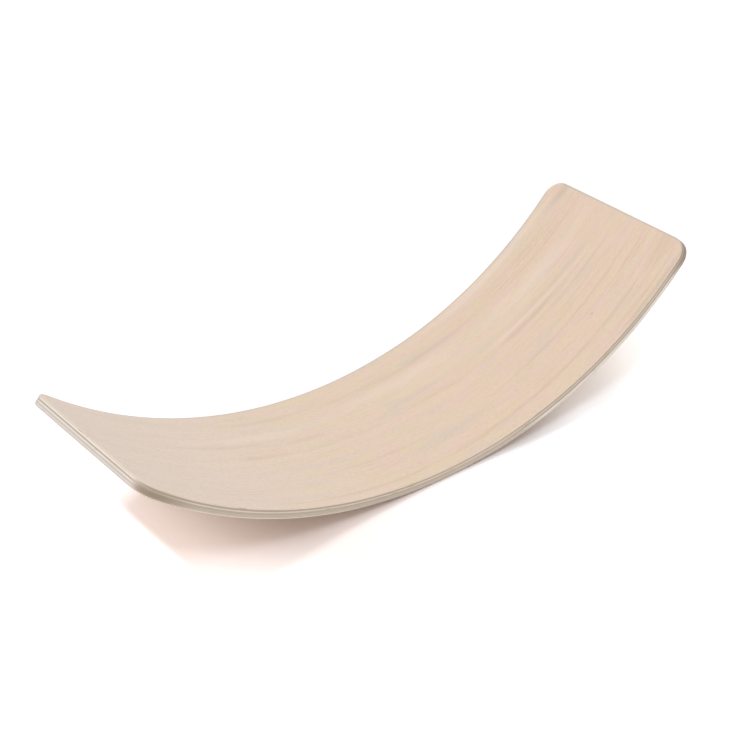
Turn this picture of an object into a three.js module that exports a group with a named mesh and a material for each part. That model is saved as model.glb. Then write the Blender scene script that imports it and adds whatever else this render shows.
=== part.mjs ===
// Rocking balance board: one springy curved board, hot pressed from seven wood veneers.
//
// Millimetres, +Z up. X runs along the board and Y across it. The origin is on the floor, in the
// middle of the flat that the board rests on, and the hollow side of the curve faces up.
//
// The veneers are bent round one common bend axis, which lies parallel to Y above the board. A place
// on the board is given by its angle along the curve, its y across the board, and its radius.
import * as THREE from 'three';

// Sizes of the whole board
const BOARD_LENGTH = 900; // straight across, from tip to tip, before the arris is rounded
const BOARD_WIDTH = 300;
const BEND_RADIUS = 643; // of the underside, which rocks on the floor
const CORNER_RADIUS = 28; // of the four corners, measured on the sheet before it is bent
const ARRIS_RADIUS = 1.6; // of the small round along the edge of both faces

// The press lay-up
const FACE_VENEER = 1.8; // thickness of the two outer veneers
const CORE_VENEER = 2.1; // thickness of each veneer between them
const CORE_COUNT = 5;
const GLUE_LINE = 0.1; // between neighbouring veneers

// How finely curves are divided
const CURVE_FACETS = 61; // between the corners; an odd number leaves a flat in the middle to rest on
const CORNER_STEPS = 7;
const ARRIS_STEPS = 4;

// Colours of the wood under its clear finish
const FACE_WOOD = { color: 0xe3cdb8, roughness: 0.48, metalness: 0 };
const LONG_WOOD = { color: 0xdac6b2, roughness: 0.62, metalness: 0 };
const CROSS_WOOD = { color: 0xa8947f, roughness: 0.7, metalness: 0 };

// Sizes that follow
const BOARD_THICKNESS = 2 * FACE_VENEER + CORE_COUNT * CORE_VENEER + (CORE_COUNT + 1) * GLUE_LINE;
const MIDDLE_RADIUS = BEND_RADIUS - BOARD_THICKNESS / 2;
const HALF_ANGLE = Math.asin(BOARD_LENGTH / 2 / BEND_RADIUS);
const CORNER_ANGLE = CORNER_RADIUS / MIDDLE_RADIUS; // taken up by a corner at each tip
const STRAIGHT_ANGLE = HALF_ANGLE - CORNER_ANGLE; // where the long edges are straight
const FACET_ANGLE = (2 * STRAIGHT_ANGLE) / CURVE_FACETS;
const AXIS_HEIGHT = BEND_RADIUS * Math.cos(FACET_ANGLE / 2); // so that the middle flat is at z = 0

// The outline of the board, drawn in by an inset, as stations along the curve. Each station has two
// points, one on each long edge, at the same angle and at y and -y.
function outlineStations(inset) {
  const radius = CORNER_RADIUS - inset;
  const corner = [];
  for (let step = 1; step <= CORNER_STEPS; step += 1) {
    const turn = (step / CORNER_STEPS) * (Math.PI / 2);
    corner.push({
      angle: STRAIGHT_ANGLE + (radius * Math.sin(turn)) / MIDDLE_RADIUS,
      y: BOARD_WIDTH / 2 - CORNER_RADIUS + radius * Math.cos(turn),
    });
  }
  const straight = [];
  for (let facet = 0; facet <= CURVE_FACETS; facet += 1) {
    straight.push({ angle: -STRAIGHT_ANGLE + facet * FACET_ANGLE, y: BOARD_WIDTH / 2 - inset });
  }
  const mirrored = corner.map(({ angle, y }) => ({ angle: -angle, y })).reverse();
  return [...mirrored, ...straight, ...corner];
}

// Levels through one veneer, from its hollow side to its underside. Each has the radius of the bend
// there, and how far the outline is drawn in by the arris.
function veneerLevels(innerRadius, thickness, roundInner, roundOuter) {
  const arris = Math.min(ARRIS_RADIUS, thickness);
  const rounded = [];
  for (let step = 0; step <= ARRIS_STEPS; step += 1) {
    const turn = (step / ARRIS_STEPS) * (Math.PI / 2);
    rounded.push({ depth: arris * (1 - Math.cos(turn)), inset: arris * (1 - Math.sin(turn)) });
  }
  const square = [{ depth: 0, inset: 0 }];
  const inner = roundInner ? rounded : square;
  const outer = roundOuter ? rounded : square;
  const levels = inner.map(({ depth, inset }) => ({ radius: innerRadius + depth, inset }));
  for (const { depth, inset } of [...outer].reverse()) {
    const radius = innerRadius + thickness - depth;
    if (radius > levels[levels.length - 1].radius) levels.push({ radius, inset });
  }
  return levels;
}

// A closed sheet bent round the Y axis: a face at the first and the last level, and a wall between
// each two levels.
function bentSheet(levels) {
  const positions = [];
  const indices = [];
  const stationCount = outlineStations(0).length;
  for (const { radius, inset } of levels) {
    for (const { angle, y } of outlineStations(inset)) {
      const x = radius * Math.sin(angle);
      const z = -radius * Math.cos(angle);
      positions.push(x, -y, z, x, y, z);
    }
  }
  const point = (level, station, side) => (level * stationCount + station) * 2 + side;
  const quad = (a, b, c, d) => indices.push(a, b, c, a, c, d);

  // The two faces
  const last = levels.length - 1;
  for (let station = 0; station + 1 < stationCount; station += 1) {
    const next = station + 1;
    quad(point(0, station, 0), point(0, next, 0), point(0, next, 1), point(0, station, 1));
    quad(point(last, station, 1), point(last, next, 1), point(last, next, 0), point(last, station, 0));
  }

  // The wall, which runs along y = -y, across the far tip, back along y, and across the near tip
  const rim = [];
  for (let station = 0; station < stationCount; station += 1) rim.push([station, 0]);
  for (let station = stationCount - 1; station >= 0; station -= 1) rim.push([station, 1]);
  for (let level = 0; level < last; level += 1) {
    for (let at = 0; at < rim.length; at += 1) {
      const here = rim[at];
      const next = rim[(at + 1) % rim.length];
      quad(point(level + 1, ...here), point(level + 1, ...next), point(level, ...next), point(level, ...here));
    }
  }

  const geometry = new THREE.BufferGeometry();
  geometry.setAttribute('position', new THREE.Float32BufferAttribute(positions, 3));
  geometry.setIndex(indices);
  geometry.computeVertexNormals();
  return geometry;
}

function veneer(name, levels, wood) {
  const mesh = new THREE.Mesh(bentSheet(levels), new THREE.MeshStandardMaterial(wood));
  mesh.name = name;
  mesh.position.z = AXIS_HEIGHT;
  return mesh;
}

// The veneers are stacked from the hollow side down. Their grain runs along the board and across it
// in turn, and both faces have it along the board.
const board = new THREE.Group();
board.name = 'rocking_balance_board';
let innerRadius = BEND_RADIUS - BOARD_THICKNESS;
board.add(veneer('top_face_veneer', veneerLevels(innerRadius, FACE_VENEER, true, false), FACE_WOOD));
innerRadius += FACE_VENEER + GLUE_LINE;
for (let core = 0; core < CORE_COUNT; core += 1) {
  const isCross = core % 2 === 0;
  const name = `${isCross ? 'cross' : 'long'}_core_veneer_${core + 1}`;
  const levels = veneerLevels(innerRadius, CORE_VENEER, false, false);
  board.add(veneer(name, levels, isCross ? CROSS_WOOD : LONG_WOOD));
  innerRadius += CORE_VENEER + GLUE_LINE;
}
board.add(veneer('bottom_face_veneer', veneerLevels(innerRadius, FACE_VENEER, false, true), FACE_WOOD));

export default board;
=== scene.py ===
# Rocking balance board: a curved board pressed from seven wood veneers, on a white studio floor.
#
# Metres, +Z up. X runs along the board, Y across it, and the hollow side faces up. The veneers are
# bent round one bend axis, parallel to Y above the board, so a place on the board is given by its
# angle along the curve, its y, and its radius from that axis.
import math

import bpy
from mathutils import Matrix, Vector, noise


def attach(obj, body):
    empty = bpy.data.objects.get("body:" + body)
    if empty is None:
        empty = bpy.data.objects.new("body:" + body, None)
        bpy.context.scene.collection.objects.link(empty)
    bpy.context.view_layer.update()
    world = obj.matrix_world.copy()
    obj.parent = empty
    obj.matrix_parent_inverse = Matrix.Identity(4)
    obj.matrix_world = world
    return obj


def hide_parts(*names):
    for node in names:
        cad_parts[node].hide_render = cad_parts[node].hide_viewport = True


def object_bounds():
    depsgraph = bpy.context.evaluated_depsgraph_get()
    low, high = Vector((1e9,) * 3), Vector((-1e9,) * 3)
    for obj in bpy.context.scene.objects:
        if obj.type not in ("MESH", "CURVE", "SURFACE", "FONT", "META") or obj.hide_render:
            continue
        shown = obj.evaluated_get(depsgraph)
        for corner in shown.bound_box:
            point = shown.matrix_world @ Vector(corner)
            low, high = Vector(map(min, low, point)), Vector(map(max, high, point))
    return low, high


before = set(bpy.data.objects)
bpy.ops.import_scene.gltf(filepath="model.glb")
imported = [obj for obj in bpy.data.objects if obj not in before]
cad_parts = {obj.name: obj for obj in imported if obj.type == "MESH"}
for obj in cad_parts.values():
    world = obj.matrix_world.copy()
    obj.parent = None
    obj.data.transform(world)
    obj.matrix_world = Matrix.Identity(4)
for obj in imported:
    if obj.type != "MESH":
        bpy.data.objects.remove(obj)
cad_box = [list(corner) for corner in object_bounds()]

# The board's sizes, as in the CAD model
BEND_RADIUS = 0.643  # of the underside
CORNER_RADIUS = 0.028  # of the four corners, on the flat sheet
ARRIS_RADIUS = 0.0016  # of the small round along the edge of both faces

# How the veneers are drawn
STRAIGHT_STEPS = 168  # along the curve, between the corners
CORNER_STEPS = 14
ARRIS_STEPS = 6
GLUE_GROOVE = 0.00012  # how far the edge of a veneer is broken where it meets the glue line
GLUE_WANDER = 0.00010  # how far a glue line strays from an even curve
WANDER_RATES = (9, 14, 7.3)  # along the curve, across it, and from one glue line to the next
FACE_MARGIN = 0.0006  # from the round of the arris to the first line inside it
SHARP_ANGLE = math.radians(35)  # from which an edge is shaded as an edge

# The camera, rolled so that the level board looks as if it were rocked towards its left end
CAMERA_AZIMUTH = math.radians(-30.97)
CAMERA_ELEVATION = math.radians(30.34)
CAMERA_ROLL = math.radians(-6.6)
CAMERA_DISTANCE = 2.854
CAMERA_TARGET = Vector((-0.0236, -0.0094, 0.1271))
PHOTO_SIDE = 730  # pixels
FOCAL_PIXELS = 2086
SENSOR_WIDTH = 36.0  # millimetres

# The light. A level is how bright each light makes a white floor, where 1 shows as white
SKY_LEVEL = 0.60
SKY_COLOUR = (1.0, 0.96, 0.925)
CEILING_LEVEL = 0.10  # of the broad soft lamp above the right side
CEILING_PLACE = Vector((0.30, -0.65, 1.80))
CEILING_SIZE = 2.2
FRONT_LEVEL = 0.03  # of the low lamp that lights the near edge
FRONT_PLACE = Vector((0.0, -2.6, 0.75))
FRONT_SIZE = (1.6, 0.5)
KEY_COLOUR = (0.93, 1.0, 1.07)
KEY_DISTANCE = 2.8
KEY_SIZE = (0.14, 0.7)  # along X and Y
KEYS = [
    # The level of each key lamp, and where it shines from
    ("key_behind", 0.22, Vector((-0.57, 0.25, 1.0))),
    ("key_front", 0.09, Vector((-0.60, -0.54, 1.0))),
]
FLOOR_SIZE = 60.0
FLOOR_COLOUR = (0.82, 0.82, 0.82, 1.0)  # as it lights the board
FLOOR_REFLECTED = (0.95, 0.95, 0.95, 1.0)  # as a reflection shows it, a plain white
# The floor near the board as the camera sees it, so bright that only shadows show: the x, and the
# colour there, which sets how pale and how warm the shadows look
FLOOR_SHOWN = [
    (-0.38, (1.76, 1.68, 1.72)),
    (-0.20, (1.14, 1.03, 1.00)),
    (0.12, (1.10, 1.08, 1.10)),
    (0.26, (1.57, 1.64, 1.73)),
    (0.40, (1.92, 2.04, 2.16)),
]
# Elsewhere it is just bright enough to show as white: the distance from the best lit place, and
# the colour there
FLOOR_BEST_LIT = (-0.6, -0.1, 0.0)
FLOOR_FAR = [
    (0.4, (1.10, 1.11, 1.11)),
    (1.2, (1.18, 1.19, 1.20)),
    (2.2, (1.41, 1.44, 1.48)),
    (4.4, (1.86, 1.95, 2.05)),
]
SHADOWS_END = (0.50, 0.80)  # the distances from the middle where the one becomes the other
SHADOWS_BEHIND = (0.12, 0.32)  # the same for the y behind the board


# The bend


def flat_end(node):
    """The x at the right end of the flat on which the underside rests."""
    floor = [v.co.x for v in node.data.vertices if v.co.z < 1e-6]
    return max(floor)


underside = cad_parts["bottom_face_veneer"]
AXIS_HEIGHT = math.sqrt(BEND_RADIUS**2 - flat_end(underside) ** 2)
BOARD_WIDTH = cad_box[1][1] - cad_box[0][1]


def bend_radii(node):
    """The radii of the two faces of a veneer."""
    radii = [math.hypot(v.co.x, AXIS_HEIGHT - v.co.z) for v in node.data.vertices]
    return min(radii), max(radii)


HOLLOW_RADIUS = bend_radii(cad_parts["top_face_veneer"])[0]
THICKNESS = BEND_RADIUS - HOLLOW_RADIUS
MIDDLE_RADIUS = BEND_RADIUS - THICKNESS / 2
HALF_ANGLE = max(math.atan2(v.co.x, AXIS_HEIGHT - v.co.z) for v in underside.data.vertices)
STRAIGHT_ANGLE = HALF_ANGLE - CORNER_RADIUS / MIDDLE_RADIUS


def place(angle, y, radius):
    """The point at an angle along the curve, a y, and a radius from the bend axis."""
    return (radius * math.sin(angle), y, AXIS_HEIGHT - radius * math.cos(angle))


def outline(inset):
    """Stations (angle, y) along the outline, drawn in by an inset. Each stands for y and -y."""
    radius = CORNER_RADIUS - inset
    corner = []
    for step in range(1, CORNER_STEPS + 1):
        turn = step / CORNER_STEPS * math.pi / 2
        angle = STRAIGHT_ANGLE + radius * math.sin(turn) / MIDDLE_RADIUS
        corner.append((angle, BOARD_WIDTH / 2 - CORNER_RADIUS + radius * math.cos(turn)))
    straight = []
    for step in range(STRAIGHT_STEPS + 1):
        angle = STRAIGHT_ANGLE * (2 * step / STRAIGHT_STEPS - 1)
        straight.append((angle, BOARD_WIDTH / 2 - inset))
    mirrored = [(-angle, y) for angle, y in reversed(corner)]
    return mirrored + straight + corner


# The veneers


def arris_levels():
    """(depth below the face, inset of the outline), from the flat face to its square edge."""
    levels = [(0.0, ARRIS_RADIUS + FACE_MARGIN)]
    for step in range(ARRIS_STEPS + 1):
        turn = step / ARRIS_STEPS * math.pi / 2
        levels.append((ARRIS_RADIUS * (1 - math.cos(turn)), ARRIS_RADIUS * (1 - math.sin(turn))))
    return levels


def groove_levels():
    """The same for the broken edge of a veneer at a glue line."""
    return [(0.0, GLUE_GROOVE), (GLUE_GROOVE, 0.0)]


def glue_wander(line, angle, y):
    """How far a glue line strays outwards from its even radius at one place."""
    if line is None:
        return 0.0
    spot = [value * rate for value, rate in zip((angle, y, line), WANDER_RATES)]
    return GLUE_WANDER * noise.noise(Vector(spot))


def sheet_mesh(name, levels):
    """A closed bent sheet, lofted through levels of (radius, inset of the outline, glue line)."""
    vertices = []
    for radius, inset, line in levels:
        for angle, y in outline(inset):
            for side in (-y, y):
                vertices.append(place(angle, side, radius + glue_wander(line, angle, side)))
    stations = len(outline(0))

    def point(level, station, side):
        return (level * stations + station) * 2 + side

    faces = []
    last = len(levels) - 1
    for station in range(stations - 1):
        after = station + 1
        faces.append([point(0, station, 0), point(0, after, 0),
                      point(0, after, 1), point(0, station, 1)])
        faces.append([point(last, station, 1), point(last, after, 1),
                      point(last, after, 0), point(last, station, 0)])
    rim = [(station, 0) for station in range(stations)]
    rim += [(station, 1) for station in reversed(range(stations))]
    for level in range(last):
        for here, after in zip(rim, rim[1:] + rim[:1]):
            faces.append([point(level + 1, *here), point(level + 1, *after),
                          point(level, *after), point(level, *here)])

    mesh = bpy.data.meshes.new(name)
    mesh.from_pydata(vertices, [], faces)
    mesh.validate()
    mesh.shade_smooth()
    mesh.set_sharp_from_angle(angle=SHARP_ANGLE)
    return mesh


def surface_levels(surface, inwards):
    """The levels from a surface (radius, glue line) to its square edge. A face has no glue line."""
    radius, line = surface
    profile = arris_levels() if line is None else groove_levels()
    return [(radius + inwards * depth, inset, line) for depth, inset in profile]


def veneer_piece(name, node_name, inner, outer, material):
    """A veneer between two surfaces, which takes the place of its CAD node."""
    levels = surface_levels(inner, 1) + surface_levels(outer, -1)[::-1]
    mesh = sheet_mesh(name, levels)
    mesh.materials.append(material)
    piece = bpy.data.objects.new(name, mesh)
    bpy.context.scene.collection.objects.link(piece)
    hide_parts(node_name)
    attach(piece, "root")


# Materials


class Tree:
    """A material's node tree, with short ways to add and link its nodes."""

    def __init__(self, tree):
        self.tree = tree

    def node(self, kind, inputs=None, **settings):
        """Adds a node. Inputs that are sockets are linked, and all others are set."""
        made = self.tree.nodes.new("ShaderNode" + kind)
        for key, value in settings.items():
            setattr(made, key, value)
        for key, value in (inputs or {}).items():
            if isinstance(value, bpy.types.NodeSocket):
                self.tree.links.new(value, made.inputs[key])
            else:
                made.inputs[key].default_value = value
        return made

    def math(self, operation, *values):
        made = self.node("Math", dict(enumerate(values)), operation=operation)
        return made.outputs[0]

    def spread(self, value, low, high, to_low=0.0, to_high=1.0):
        """Maps a value's range onto another, smoothly and clamped."""
        inputs = {"Value": value, "From Min": low, "From Max": high}
        inputs.update({"To Min": to_low, "To Max": to_high})
        made = self.node("MapRange", inputs, interpolation_type="SMOOTHSTEP")
        return made.outputs["Result"]

    def vector(self, x, y, z=0.0):
        return self.node("CombineXYZ", {"X": x, "Y": y, "Z": z}).outputs[0]

    def noise(self, place, detail=2.0, roughness=0.5):
        """Noise about 0.5, at a scale of 1. A number as the place gives noise along a line."""
        made = self.node("TexNoise", {"Scale": 1.0, "Detail": detail, "Roughness": roughness})
        if place.type == "VECTOR":
            self.tree.links.new(place, made.inputs["Vector"])
        else:
            made.noise_dimensions = "1D"
            self.tree.links.new(place, made.inputs["W"])
        return made.outputs["Fac"]

    def streaks(self, first, second, rates, seed, detail=2.0, roughness=0.5):
        """Noise with its own rate in each of two directions, in cycles for each metre."""
        x = self.math("MULTIPLY", first, rates[0])
        y = self.math("MULTIPLY", second, rates[1])
        return self.noise(self.vector(x, y, seed), detail, roughness)

    def about(self, value, size):
        """A value about 0.5, turned into one about 0 of a given size."""
        return self.math("MULTIPLY", self.math("SUBTRACT", value, 0.5), size)

    def mix(self, share, first, second):
        """A colour between two others. The numbers are those of the node's colour sockets."""
        return self.node("Mix", {0: share, 6: first, 7: second}, data_type="RGBA").outputs[2]

    def mix_values(self, share, first, second):
        """The same for numbers."""
        return self.node("Mix", {0: share, 2: first, 3: second}).outputs[0]

    def ramp(self, value, stops):
        """A colour that follows a value through stops of (value, colour)."""
        colour = stops[0][1] + (1.0,)
        for (start, _), (end, after) in zip(stops, stops[1:]):
            colour = self.mix(self.spread(value, start, end), colour, after + (1.0,))
        return colour


def srgb(red, green, blue):
    """A colour as it is read off a picture, in linear values."""
    def linear(value):
        value /= 255
        return value / 12.92 if value <= 0.04045 else ((value + 0.055) / 1.055) ** 2.4
    return (linear(red), linear(green), linear(blue), 1.0)


def new_material(name):
    """A material with an empty node tree."""
    material = bpy.data.materials.new(name)
    material.use_nodes = True
    material.node_tree.nodes.clear()
    return material, Tree(material.node_tree)


class Sheet:
    """Where a point lies on the flat sheet before it was bent, and which way its surface faces."""

    def __init__(self, t):
        coordinates = t.node("TexCoord").outputs
        at = t.node("SeparateXYZ", {0: coordinates["Object"]}).outputs
        facing = t.node("SeparateXYZ", {0: coordinates["Normal"]}).outputs
        drop = t.math("SUBTRACT", AXIS_HEIGHT, at["Z"])
        outward = t.vector(at["X"], 0.0, t.math("MULTIPLY", drop, -1.0))
        out = t.node("VectorMath", {0: outward}, operation="NORMALIZE").outputs["Vector"]
        lean = {0: out, 1: coordinates["Normal"]}
        level = t.node("VectorMath", lean, operation="DOT_PRODUCT").outputs["Value"]
        squared = t.math("MULTIPLY", level, level)
        slant = t.math("SQRT", t.math("SUBTRACT", 1.0001, squared))  # never quite 0

        self.along = t.math("MULTIPLY", t.math("ARCTAN2", at["X"], drop), MIDDLE_RADIUS)
        self.across = at["Y"]
        self.radius = t.node("VectorMath", {0: outward}, operation="LENGTH").outputs["Value"]
        self.round_edge = t.math("ADD", self.along, self.across)  # grows steadily along each wall
        self.wall = t.math("SUBTRACT", 1.0, t.math("ABSOLUTE", level))  # 0 on a face, 1 on a wall
        self.side = t.math("DIVIDE", t.math("ABSOLUTE", facing["Y"]), slant)  # 1 on a long edge


# The wood as it looks under its clear lacquer

PINK_WOOD = srgb(231, 205, 188)
YELLOW_WOOD = srgb(228, 208, 180)
GREY_WOOD = srgb(217, 201, 189)
# Partly the wood's own paler colour at the left end, partly painted sheen
PALE_AND_SHEEN_WOOD = srgb(231, 215, 201)
LIGHT_WOOD = srgb(237, 219, 203)
RED_WOOD = srgb(216, 182, 160)
TAN_WOOD = srgb(203, 175, 148)
SMOKED_WOOD = srgb(186, 168, 148)
KNOT_WOOD = srgb(160, 116, 92)
CORNER_WOOD = srgb(148, 128, 109)
GLUE = srgb(160, 139, 117)
UNDERSIDE_WOOD = srgb(205, 170, 140)
# Painted shade for the lower arris where the board meets the floor
CONTACT_SHADE_WOOD = srgb(128, 112, 99)
# Painted shade for the upper arris and the face beside it, on the far edge and the right tip
SHADED_ARRIS_WOOD = srgb(190, 183, 175)

# The grain of a face runs along the board and leans slightly towards its middle line
GRAIN_MIDDLE = 0.008  # where across the board it does not lean
GRAIN_TURN = 0.035  # how far from there it takes up its lean
GRAIN_LEAN = 0.045
GRAIN_STRAYS = [(0.010, (1.3, 6.0)), (0.003, (7.0, 30.0))]  # size, and rates along and across

# The layers of a face's figure. Rates are in cycles for each metre, along and across the grain.
# A cut is where in the noise the layer begins and where it is whole. A tone is how dark it gets
BAND_RATE = 42
BAND_TONE = 0.25
LINE_RATE = 250
LINE_CUT = (0.46, 0.68)
LINE_TONE = 0.40
DRAWN_RATES = (7, 26)  # of the patches in which there are lines
DRAWN_CUT = (0.42, 0.64)
DRAWN_SHARE = 0.5  # how strong the lines are outside the lined places
GAP_RATES = (16, 150)  # of the gaps in the lines
GAP_CUT = (0.34, 0.58)
STREAK_RATES = (26, 130)
STREAK_TONE = 0.38
FIBRE_RATES = (140, 430)
FIBRE_TONE = 0.90
PORE_RATES = (230, 2300)
PORE_CUT = (0.64, 0.74)
PORE_SHARE = 0.35
PLAIN_TONE = 0.11  # how much of the darker wood there is without any of these
HUE_RATES = (14, 48)  # of the change between pink and yellow
HUE_CUT = (0.36, 0.64)
GREY_RATES = (9, 40)
GREY_CUT = (0.50, 0.72)
GREY_SHARE = 0.55
PALE_AND_SHEEN_END = (0.00, -0.45)  # along the sheet, where the wood turns paler to the left: partly its own colour, partly a painted sheen where the light grazes that end
PALE_AND_SHEEN_SHARE = 0.79
RED_AND_WARM_LIGHT_END = (-0.10, 0.45)  # where it turns redder to the right: partly the wood's own colour, partly painted warmer light on that end
RED_AND_WARM_LIGHT_SHARE = 0.13
UNDERSIDE_SHARE = 0.5
FACE_ROUGHNESS = 0.45
CLOUD_RATES = (9, 12)  # of the change in roughness
CLOUD_SIZE = 0.10
FIBRE_ROUGHNESS = 0.12
TORN_RATES = (30, 210)  # of what makes the marks ragged
TORN_SIZE = 1.1
WAVED_RATES = (9, 30)
WAVED_SIZE = 0.9

# What stands out in the figure of the hollow face: its colour and strength, the place of its
# middle along and across the sheet, its half length and half width, its lean, and its arch
HOLLOW_MARKS = [
    (YELLOW_WOOD, 0.52, (0.160, 0.040), (0.330, 0.021), -0.04, 0.00),
    (LIGHT_WOOD, 0.43, (0.090, 0.072), (0.150, 0.021), -0.02, 0.00),
    (LIGHT_WOOD, 0.39, (0.340, 0.058), (0.190, 0.022), -0.03, 0.00),
    (LIGHT_WOOD, 0.40, (-0.170, 0.064), (0.230, 0.013), 0.02, 0.00),
    (TAN_WOOD, 0.30, (0.110, 0.098), (0.230, 0.007), -0.03, 0.00),
    (TAN_WOOD, 0.22, (0.400, 0.087), (0.150, 0.005), -0.03, 0.00),
    (TAN_WOOD, 0.22, (0.360, 0.112), (0.150, 0.006), -0.03, 0.00),
    (TAN_WOOD, 0.28, (-0.130, 0.107), (0.100, 0.008), 0.00, 0.00),
    (TAN_WOOD, 0.28, (-0.250, 0.043), (0.110, 0.007), 0.01, 0.00),
    (RED_WOOD, 0.35, (-0.200, 0.004), (0.070, 0.010), 0.05, 0.00),
    (TAN_WOOD, 0.25, (-0.110, 0.032), (0.050, 0.010), 0.06, 0.00),
    (RED_WOOD, 0.26, (0.090, 0.008), (0.080, 0.007), 0.00, 0.00),
    (SMOKED_WOOD, 0.19, (0.340, 0.022), (0.150, 0.008), -0.03, 0.00),
    (LIGHT_WOOD, 0.42, (0.290, 0.016), (0.180, 0.0040), -0.02, -0.30),
    (SMOKED_WOOD, 0.30, (0.290, 0.005), (0.110, 0.0080), 0.00, -0.20),
    (SMOKED_WOOD, 0.16, (0.390, -0.008), (0.170, 0.003), 0.00, 0.00),
    (TAN_WOOD, 0.39, (0.320, -0.055), (0.230, 0.005), 0.05, 0.00),
    (TAN_WOOD, 0.25, (-0.060, -0.068), (0.170, 0.006), 0.02, 0.00),
    (RED_WOOD, 0.35, (0.440, -0.068), (0.080, 0.006), 0.05, 0.00),
    (TAN_WOOD, 0.24, (0.270, -0.089), (0.060, 0.004), 0.02, 0.00),
    (TAN_WOOD, 0.43, (0.220, -0.117), (0.330, 0.006), 0.05, 0.00),
    (TAN_WOOD, 0.30, (-0.130, -0.133), (0.200, 0.006), 0.02, 0.00),
    (RED_WOOD, 0.26, (0.100, -0.121), (0.160, 0.010), 0.04, 0.00),
    (TAN_WOOD, 0.30, (0.390, -0.133), (0.110, 0.006), 0.03, 0.00),
    (SMOKED_WOOD, 0.35, (0.474, 0.120), (0.040, 0.012), -0.20, 0.00),
    (SMOKED_WOOD, 0.40, (0.410, -0.146), (0.130, 0.007), 0.00, 0.00),
    (LIGHT_WOOD, 0.55, (0.320, 0.138), (0.270, 0.013), 0.00, 0.00),
    (TAN_WOOD, 0.28, (0.470, -0.110), (0.060, 0.024), 0.00, 0.00),
]
# Where the fine lines of the figure are close and clear: the middle, the half sizes and the lean
LINED_PLACES = [
    ((0.350, -0.026), (0.190, 0.030), 0.02),
    ((0.450, -0.078), (0.090, 0.022), 0.05),
    ((0.430, -0.128), (0.110, 0.020), 0.05),
    ((0.380, 0.100), (0.170, 0.018), -0.03),
]
LINED_GROWTH = -0.2  # makes the lines whole over more of the middle of each place
KNOT_PLACE = (0.337, -0.080)
KNOT_HALF = (0.00208, 0.0016)
KNOT_SHARE = 0.8
KNOT_ROUND = (0.0112, 0.0048)  # half the length and width of the redder wood round it
KNOT_ROUND_SHARE = 0.35

# The layers of figure on the edge of a veneer, along the edge and through its thickness
EDGE_STREAK_RATES = (18, 1500)
HATCH_RATE = 620  # of the end grain
HATCH_LEAN = 1.1
SPECK_RATES = (1500, 1500)
EDGE_PATCH_RATES = (30, 300)
TURN_RATES = (12, 200)  # of the line where the first side colour becomes the second
TURN_SIZE = 0.06
TURN_PLACE = (0.11, 0.19)
LIGHTER_PLACE = (-0.14, 0.08)  # along the sheet, where the side turns lighter to the right
LIGHTER_SHARE = 0.22
EDGE_PLAIN_TONE = 0.10
EDGE_PATCH_TONE = 0.6
EDGE_ROUGHNESS = 0.55
VOID_RATES = (45, 900)  # of the small voids in the veneers
VOID_CUT = (0.76, 0.80)
VOID_SHARE = 0.8
GLUE_HALF = (0.00022, 0.00006)  # from a glue line's middle, where it begins and where it is whole
GLUE_SHARE = 0.45

# Where the sides are darker at the corners: along the sheet at both ends, and how far round the
# corner the side faces
LEFT_CORNER = (-0.385, -0.470)
RIGHT_CORNER = (0.430, 0.475)
CORNER_TURN = (0.22, 0.78)
CORNER_DEPTHS = (0.001, 0.009)  # below the hollow face, with the share at each
CORNER_SHARES = (0.30, 0.85)

# The lower arris is darkened about the middle of the board, where it meets the floor: painted shade
# of the contact with the floor
CONTACT_SHADE_MIDDLE = -0.03
CONTACT_SHADE_REACH = (0.15, 0.06)
CONTACT_SHADE_DEPTHS = (0.0022, 0.0008)  # up from the underside
CONTACT_SHADE_TURN = (0.02, 0.15)  # how far the surface leans away from the face
CONTACT_SHADE_SHARE = 0.85

# The upper arris and the strip of face beside it are greyed on the far edge and the right tip:
# painted shade, where they turn away from the light
SHADED_EDGE = (0.1460, 0.1484)  # across the sheet
SHADED_EDGE_SHARE = 0.90
SHADED_TIP = (0.4886, 0.4912)  # along the sheet
SHADED_TIP_SHARE = 0.55
SHADED_TURN = (0.90, 0.50)  # how far the surface leans away, where it begins and where it is whole

# How much of each surface is face and how much is wall, by how far it leans away from the face
WALL_TURN = (0.25, 0.85)


def grain_line(t, sheet, seed):
    """Which line of the grain a place is on, in metres across the sheet at its middle."""
    reach = t.math("SUBTRACT", sheet.across, GRAIN_MIDDLE)
    turned = t.math("SQRT", t.math("ADD", t.math("MULTIPLY", reach, reach), GRAIN_TURN**2))
    lean = t.math("MULTIPLY", t.math("DIVIDE", reach, turned), GRAIN_LEAN)
    line = t.math("ADD", sheet.across, t.math("MULTIPLY", sheet.along, lean))
    for size, rates in GRAIN_STRAYS:
        stray = t.streaks(sheet.along, sheet.across, rates, seed)
        line = t.math("ADD", line, t.about(stray, size))
    return line


def mark(t, sheet, ragged, middle, half, lean, arch):
    """1 in the middle of a long soft mark in the figure, and 0 outside it."""
    away = t.math("SUBTRACT", sheet.along, middle[0])
    bend = t.math("MULTIPLY", away, t.math("ADD", t.math("MULTIPLY", away, arch), lean))
    over = t.math("SUBTRACT", t.math("SUBTRACT", sheet.across, middle[1]), bend)
    apart = t.vector(t.math("DIVIDE", away, half[0]), t.math("DIVIDE", over, half[1]))
    distance = t.node("VectorMath", {0: apart}, operation="LENGTH").outputs["Value"]
    return t.spread(t.math("ADD", distance, ragged), 1.0, 0.0)


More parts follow.
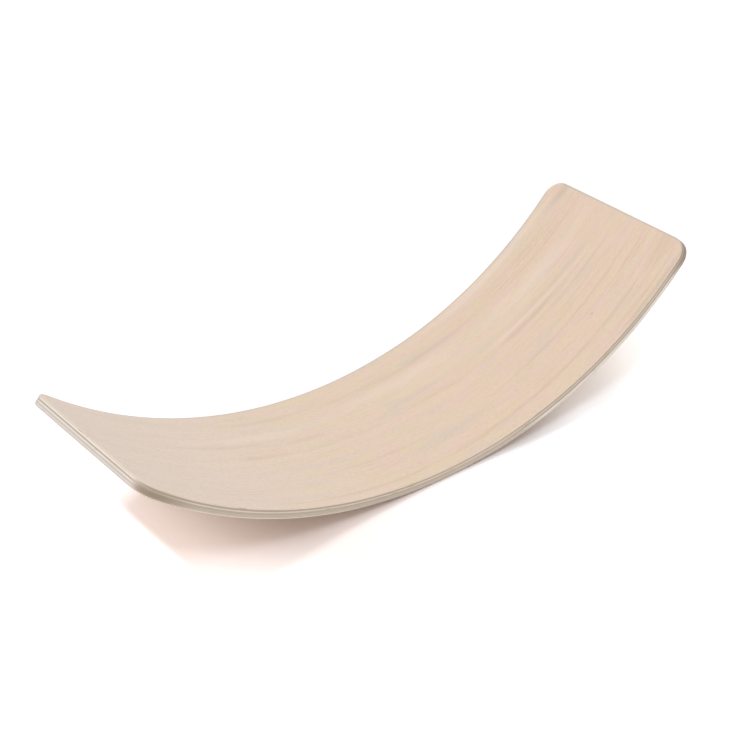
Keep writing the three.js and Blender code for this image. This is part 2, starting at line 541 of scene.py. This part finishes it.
def fine_lines(t, sheet, line, seed, places):
    """The fine dark lines of the grain, in patches and with gaps."""
    lines = t.spread(t.noise(t.math("MULTIPLY", line, LINE_RATE), 1.0), *LINE_CUT)
    drawn = t.streaks(sheet.along, line, DRAWN_RATES, seed + 5)
    drawn = t.spread(drawn, *DRAWN_CUT, 0.0, DRAWN_SHARE)
    for middle, half, lean in places:
        lined = mark(t, sheet, LINED_GROWTH, middle, half, lean, 0.0)
        drawn = t.math("MAXIMUM", drawn, lined)
    gaps = t.spread(t.streaks(sheet.along, line, GAP_RATES, seed + 10), *GAP_CUT)
    return t.math("MULTIPLY", lines, t.math("MULTIPLY", drawn, gaps))


def plain_colour(t, sheet, line, seed):
    """The colour of the wood before its figure, with its paler left end that is partly painted
    sheen.
    """
    hue = t.streaks(sheet.along, line, HUE_RATES, seed + 3, 3.0, 0.65)
    colour = t.mix(t.spread(hue, *HUE_CUT), PINK_WOOD, YELLOW_WOOD)
    grey = t.streaks(sheet.along, line, GREY_RATES, seed + 4)
    colour = t.mix(t.spread(grey, *GREY_CUT, 0.0, GREY_SHARE), colour, GREY_WOOD)
    # Paler to the left: partly the wood's own colour, partly painted sheen
    return t.mix(t.spread(sheet.along, *PALE_AND_SHEEN_END, 0.0, PALE_AND_SHEEN_SHARE), colour, PALE_AND_SHEEN_WOOD)


def marked(t, sheet, line, seed, marks, colour):
    """A colour with its marks and its knot drawn over it."""
    torn = t.about(t.streaks(sheet.along, line, TORN_RATES, seed + 8), TORN_SIZE)
    waved = t.about(t.streaks(sheet.along, sheet.across, WAVED_RATES, seed + 9), WAVED_SIZE)
    ragged = t.math("ADD", torn, waved)
    for mark_colour, strength, middle, half, lean, arch in marks:
        share = mark(t, sheet, ragged, middle, half, lean, arch)
        colour = t.mix(t.math("MULTIPLY", share, strength), colour, mark_colour)
    around = mark(t, sheet, 0.0, KNOT_PLACE, KNOT_ROUND, 0.0, 0.0)
    knot = mark(t, sheet, 0.0, KNOT_PLACE, KNOT_HALF, 0.0, 0.0)
    colour = t.mix(t.math("MULTIPLY", around, KNOT_ROUND_SHARE), colour, RED_WOOD)
    return t.mix(t.math("MULTIPLY", knot, KNOT_SHARE), colour, KNOT_WOOD)


def face_wood(t, sheet, seed, marks):
    """Colour, relief and roughness of a plain-sliced face, with its grain along the board."""
    line = grain_line(t, sheet, seed)
    bands = t.noise(t.math("MULTIPLY", line, BAND_RATE), 3.0, 0.6)
    lines = fine_lines(t, sheet, line, seed, LINED_PLACES if marks else [])
    streak = t.streaks(sheet.along, line, STREAK_RATES, seed + 7, 3.0, 0.65)
    fibre = t.streaks(sheet.along, line, FIBRE_RATES, seed + 1, 2.0, 0.6)
    pores = t.spread(t.streaks(sheet.along, line, PORE_RATES, seed + 2, 1.0), *PORE_CUT)

    tone = t.math("ADD", t.about(bands, BAND_TONE), t.about(streak, STREAK_TONE))
    tone = t.math("ADD", tone, t.about(fibre, FIBRE_TONE))
    tone = t.math("ADD", tone, t.math("MULTIPLY", lines, LINE_TONE))
    tone = t.math("ADD", tone, PLAIN_TONE)
    colour = t.mix(tone, plain_colour(t, sheet, line, seed), TAN_WOOD)
    # Redder to the right: partly the wood's own colour, partly painted warmer light
    colour = t.mix(t.spread(sheet.along, *RED_AND_WARM_LIGHT_END, 0.0, RED_AND_WARM_LIGHT_SHARE), colour, RED_WOOD)
    if marks:
        colour = marked(t, sheet, line, seed, marks, colour)
    else:
        colour = t.mix(UNDERSIDE_SHARE, colour, UNDERSIDE_WOOD)
    colour = t.mix(t.math("MULTIPLY", pores, PORE_SHARE), colour, TAN_WOOD)

    relief = t.math("SUBTRACT", t.math("ADD", fibre, t.math("MULTIPLY", lines, 0.5)), pores)
    cloud = t.streaks(sheet.along, sheet.across, CLOUD_RATES, seed + 6)
    uneven = t.math("ADD", t.about(cloud, CLOUD_SIZE), t.about(fibre, FIBRE_ROUGHNESS))
    return colour, relief, t.math("ADD", FACE_ROUGHNESS, uneven)


def edge_grain(t, sheet, ply):
    """Long grain or end grain, whichever the veneer shows where its edge faces."""
    long_grain = t.streaks(sheet.round_edge, sheet.radius, EDGE_STREAK_RATES, ply.seed, 3.0, 0.6)
    leaning = t.math("MULTIPLY", sheet.radius, HATCH_LEAN)
    slope = t.math("ADD", sheet.round_edge, leaning)
    hatch = t.noise(t.math("MULTIPLY", slope, HATCH_RATE), 1.0)
    specks = t.streaks(sheet.round_edge, sheet.radius, SPECK_RATES, ply.seed + 1)
    end_grain = t.math("MULTIPLY", t.math("ADD", hatch, specks), 0.5)
    end = t.math("SUBTRACT", 1.0, sheet.side) if ply.grain_along else sheet.side
    return t.mix_values(end, long_grain, end_grain)


def corner_share(t, sheet):
    """How much darker the wall is where it turns round a corner, and more so further down."""
    turned = t.spread(sheet.side, *CORNER_TURN)
    left_end = t.spread(sheet.along, *LEFT_CORNER)
    at_end = t.math("MAXIMUM", left_end, t.spread(sheet.along, *RIGHT_CORNER))
    depths = [HOLLOW_RADIUS + depth for depth in CORNER_DEPTHS]
    deep = t.spread(sheet.radius, *depths, *CORNER_SHARES)
    return t.math("MULTIPLY", t.math("MULTIPLY", turned, at_end), deep)


def wall_wood(t, sheet, ply):
    """Colour, relief and roughness of the sanded edge of a veneer."""
    grain = edge_grain(t, sheet, ply)
    patch = t.streaks(sheet.round_edge, sheet.radius, EDGE_PATCH_RATES, ply.seed + 2)
    turn = t.about(t.streaks(sheet.round_edge, sheet.radius, TURN_RATES, ply.seed + 4), TURN_SIZE)
    towards_right = t.spread(t.math("ADD", sheet.along, turn), *TURN_PLACE)
    side_colour = t.mix(towards_right, ply.side_colours[0], ply.side_colours[1])
    lighter = t.spread(sheet.along, *LIGHTER_PLACE, 0.0, LIGHTER_SHARE)
    side_colour = t.mix(lighter, side_colour, LIGHT_WOOD)
    colour = t.mix(sheet.side, ply.tip_colour, side_colour)
    colour = t.mix(corner_share(t, sheet), colour, CORNER_WOOD)
    tone = t.math("ADD", t.about(grain, 1.0), t.about(patch, EDGE_PATCH_TONE))
    colour = t.mix(t.math("ADD", tone, EDGE_PLAIN_TONE), colour, SMOKED_WOOD)
    void = t.streaks(sheet.round_edge, sheet.radius, VOID_RATES, ply.seed + 3, 0.0)
    void = t.spread(void, *VOID_CUT)
    colour = t.mix(t.math("MULTIPLY", void, VOID_SHARE), colour, GLUE)
    for glue_radius in ply.glue_radii:
        away = t.math("ABSOLUTE", t.math("SUBTRACT", sheet.radius, glue_radius))
        colour = t.mix(t.spread(away, *GLUE_HALF, 0.0, GLUE_SHARE), colour, GLUE)
    relief = t.math("SUBTRACT", grain, void)
    roughness = t.math("ADD", EDGE_ROUGHNESS, t.about(grain, 0.2))
    return colour, relief, roughness


def contact_shade_share(t, sheet):
    """How much painted shade darkens the lower arris about the middle, where the board meets the
    floor.
    """
    away = t.math("ABSOLUTE", t.math("SUBTRACT", sheet.along, CONTACT_SHADE_MIDDLE))
    near_middle = t.spread(away, *CONTACT_SHADE_REACH)
    on_arris = t.spread(sheet.radius, *[AXIS_HEIGHT - depth for depth in CONTACT_SHADE_DEPTHS])
    off_face = t.spread(sheet.wall, *CONTACT_SHADE_TURN, 0.0, CONTACT_SHADE_SHARE)
    return t.math("MULTIPLY", t.math("MULTIPLY", near_middle, on_arris), off_face)


def arris_shade_share(t, sheet):
    """How much painted shade greys the upper arris and the strip beside it on the far edge and the
    right tip.
    """
    far_edge = t.spread(sheet.across, *SHADED_EDGE, 0.0, SHADED_EDGE_SHARE)
    right_tip = t.spread(sheet.along, *SHADED_TIP, 0.0, SHADED_TIP_SHARE)
    off_wall = t.spread(sheet.wall, *SHADED_TURN)
    return t.math("MULTIPLY", t.math("MAXIMUM", far_edge, right_tip), off_wall)


class Ply:
    """One veneer of the lay-up: its CAD node, its grain, and the colours of its edge."""

    def __init__(self, node, piece, slot, grain_along, side_colours, tip_colour):
        self.node = node
        self.piece = piece
        self.slot = slot
        self.grain_along = grain_along
        self.side_colours = side_colours
        self.tip_colour = tip_colour
        self.seed = 0.0  # of its noise, set from its place in the lay-up
        self.glue_radii = []  # of the glue lines beside it


def build_wood(ply):
    """The material of a veneer: its wall, and on the outer two also its face."""
    material, t = new_material(ply.piece + "_wood")
    sheet = Sheet(t)
    colour, relief, roughness = wall_wood(t, sheet, ply)
    if ply.slot == "face_wood":
        marks = HOLLOW_MARKS if ply.node == "top_face_veneer" else []
        face_colour, face_relief, face_roughness = face_wood(t, sheet, ply.seed, marks)
        wall = t.spread(sheet.wall, *WALL_TURN)
        colour = t.mix(wall, face_colour, colour)
        if marks:
            # Painted shade greys the upper arris on the far edge and the right tip
            colour = t.mix(arris_shade_share(t, sheet), colour, SHADED_ARRIS_WOOD)
        else:
            # Painted contact shade darkens the lower arris about the middle of the board
            colour = t.mix(contact_shade_share(t, sheet), colour, CONTACT_SHADE_WOOD)
        relief = t.mix_values(wall, face_relief, relief)
        roughness = t.mix_values(wall, face_roughness, roughness)
    bump = t.node("Bump", {"Height": relief, "Strength": 0.25, "Distance": 0.0002})
    shader = t.node("BsdfPrincipled", {
        "Base Color": colour,
        "Roughness": roughness,
        "Normal": bump.outputs[0],
        "Coat Weight": 0.10,
        "Coat Roughness": 0.30,
    })
    t.node("OutputMaterial", {"Surface": shader.outputs[0]})
    return material


# The floor, the light and the camera


def seen_directly(t):
    """1 for what the camera or a reflection shows, and 0 for light on its way to a surface."""
    path = t.node("LightPath").outputs
    reflected = t.math("MAXIMUM", path["Is Glossy Ray"], path["Is Transmission Ray"])
    return t.math("MAXIMUM", path["Is Camera Ray"], reflected)


def build_floor():
    """A floor that lights the board plainly and shows as white, with the board's shadows."""
    material, t = new_material("studio_floor")
    place = t.node("TexCoord").outputs["Object"]
    at = t.node("SeparateXYZ", {0: place}).outputs
    away = t.node("VectorMath", {0: place}, operation="LENGTH").outputs["Value"]
    from_best = {0: place, 1: FLOOR_BEST_LIT}
    dimmed = t.node("VectorMath", from_best, operation="DISTANCE").outputs["Value"]
    clear = t.math("MAXIMUM", t.spread(away, *SHADOWS_END), t.spread(at["Y"], *SHADOWS_BEHIND))
    shown = t.mix(clear, t.ramp(at["X"], FLOOR_SHOWN), t.ramp(dimmed, FLOOR_FAR))
    in_camera = t.node("LightPath").outputs["Is Camera Ray"]
    shown = t.mix(in_camera, FLOOR_REFLECTED, shown)
    colour = t.mix(seen_directly(t), FLOOR_COLOUR, shown)
    shader = t.node("BsdfDiffuse", {"Color": colour})
    t.node("OutputMaterial", {"Surface": shader.outputs[0]})
    mesh = bpy.data.meshes.new("floor")
    half = FLOOR_SIZE / 2
    corners = [(-half, -half, 0), (half, -half, 0), (half, half, 0), (-half, half, 0)]
    mesh.from_pydata(corners, [], [(0, 1, 2, 3)])
    mesh.materials.append(material)
    floor = bpy.data.objects.new("floor", mesh)
    bpy.context.scene.collection.objects.link(floor)


def build_sky():
    """A soft even light from all round, which itself shows as white."""
    world = bpy.data.worlds.new("sky")
    world.use_nodes = True
    world.node_tree.nodes.clear()
    t = Tree(world.node_tree)
    light = tuple(SKY_LEVEL * channel for channel in SKY_COLOUR) + (1.0,)
    colour = t.mix(seen_directly(t), light, (1.0, 1.0, 1.0, 1.0))
    sky = t.node("Background", {"Color": colour, "Strength": 1.0})
    t.node("OutputWorld", {"Surface": sky.outputs[0]})
    bpy.context.scene.world = world


def build_lamp(name, level, place, size):
    """A rectangular lamp, aimed at the middle of the floor, with the power for its level there."""
    distance = place.length
    towards = place / distance
    lamp = bpy.data.lights.new(name, "AREA")
    lamp.shape = "RECTANGLE"
    lamp.size, lamp.size_y = size
    lamp.energy = level * math.pi**2 * distance**2 / towards.z
    made = bpy.data.objects.new(name, lamp)
    made.location = place
    across = Vector((0, 1, 0)).cross(towards).normalized()
    made.rotation_euler = Matrix((across, towards.cross(across), towards)).transposed().to_euler()
    made.visible_camera = False
    bpy.context.scene.collection.objects.link(made)
    return lamp


def build_camera():
    """The camera, aimed at its target from its azimuth and elevation, and rolled."""
    back = Vector((
        math.sin(CAMERA_AZIMUTH) * math.cos(CAMERA_ELEVATION),
        -math.cos(CAMERA_AZIMUTH) * math.cos(CAMERA_ELEVATION),
        math.sin(CAMERA_ELEVATION),
    ))
    level_right = Vector((0, 0, 1)).cross(back).normalized()
    level_up = back.cross(level_right)
    right = level_right * math.cos(CAMERA_ROLL) + level_up * math.sin(CAMERA_ROLL)
    up = back.cross(right)
    data = bpy.data.cameras.new("camera")
    data.sensor_fit = "HORIZONTAL"
    data.sensor_width = SENSOR_WIDTH
    data.lens = FOCAL_PIXELS * SENSOR_WIDTH / PHOTO_SIDE
    camera = bpy.data.objects.new("camera", data)
    camera.location = CAMERA_TARGET + back * CAMERA_DISTANCE
    camera.rotation_euler = Matrix((right, up, back)).transposed().to_euler()
    bpy.context.scene.collection.objects.link(camera)
    bpy.context.scene.camera = camera


# The whole scene

bpy.context.scene.view_settings.view_transform = "Standard"
build_camera()
build_sky()
build_lamp("ceiling", CEILING_LEVEL, CEILING_PLACE, (CEILING_SIZE, CEILING_SIZE))
build_lamp("front", FRONT_LEVEL, FRONT_PLACE, FRONT_SIZE)
for name, level, towards in KEYS:
    key = build_lamp(name, level, towards.normalized() * KEY_DISTANCE, KEY_SIZE)
    key.color = KEY_COLOUR
build_floor()

# From the hollow side down: the node, the new piece, its slot, whether its grain runs along the
# board, the colours of its long edge at the left and at the right, and its colour at the tips
LAY_UP = [
    Ply("top_face_veneer", "top_face_sheet", "face_wood", True,
        (srgb(233, 216, 198), srgb(219, 202, 184)), srgb(214, 198, 184)),
    Ply("cross_core_veneer_1", "cross_core_sheet_1", "cross_wood", False,
        (srgb(181, 166, 148), srgb(175, 160, 143)), srgb(244, 232, 220)),
    Ply("long_core_veneer_2", "long_core_sheet_2", "long_wood", True,
        (srgb(228, 213, 196), srgb(230, 216, 199)), srgb(186, 172, 159)),
    Ply("cross_core_veneer_3", "cross_core_sheet_3", "cross_wood", False,
        (srgb(190, 176, 160), srgb(160, 146, 131)), srgb(236, 225, 213)),
    Ply("long_core_veneer_4", "long_core_sheet_4", "long_wood", True,
        (srgb(201, 187, 171), srgb(250, 243, 232)), srgb(208, 196, 185)),
    Ply("cross_core_veneer_5", "cross_core_sheet_5", "cross_wood", False,
        (srgb(205, 191, 175), srgb(252, 246, 236)), srgb(226, 216, 208)),
    Ply("bottom_face_veneer", "bottom_face_sheet", "face_wood", True,
        (srgb(254, 248, 238), srgb(253, 248, 240)), srgb(212, 204, 197)),
]
radii = [bend_radii(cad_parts[ply.node]) for ply in LAY_UP]
glue_radii = [(upper[1] + lower[0]) / 2 for upper, lower in zip(radii, radii[1:])]
glue_lines = [(radius, line) for line, radius in enumerate(glue_radii)]
surfaces = [(HOLLOW_RADIUS, None)] + glue_lines + [(AXIS_HEIGHT, None)]
for layer, ply in enumerate(LAY_UP):
    inner, outer = surfaces[layer:layer + 2]
    ply.seed = 10.0 * (layer + 1)
    ply.glue_radii = [radius for radius, line in (inner, outer) if line is not None]
    veneer_piece(ply.piece, ply.node, inner, outer, build_wood(ply))
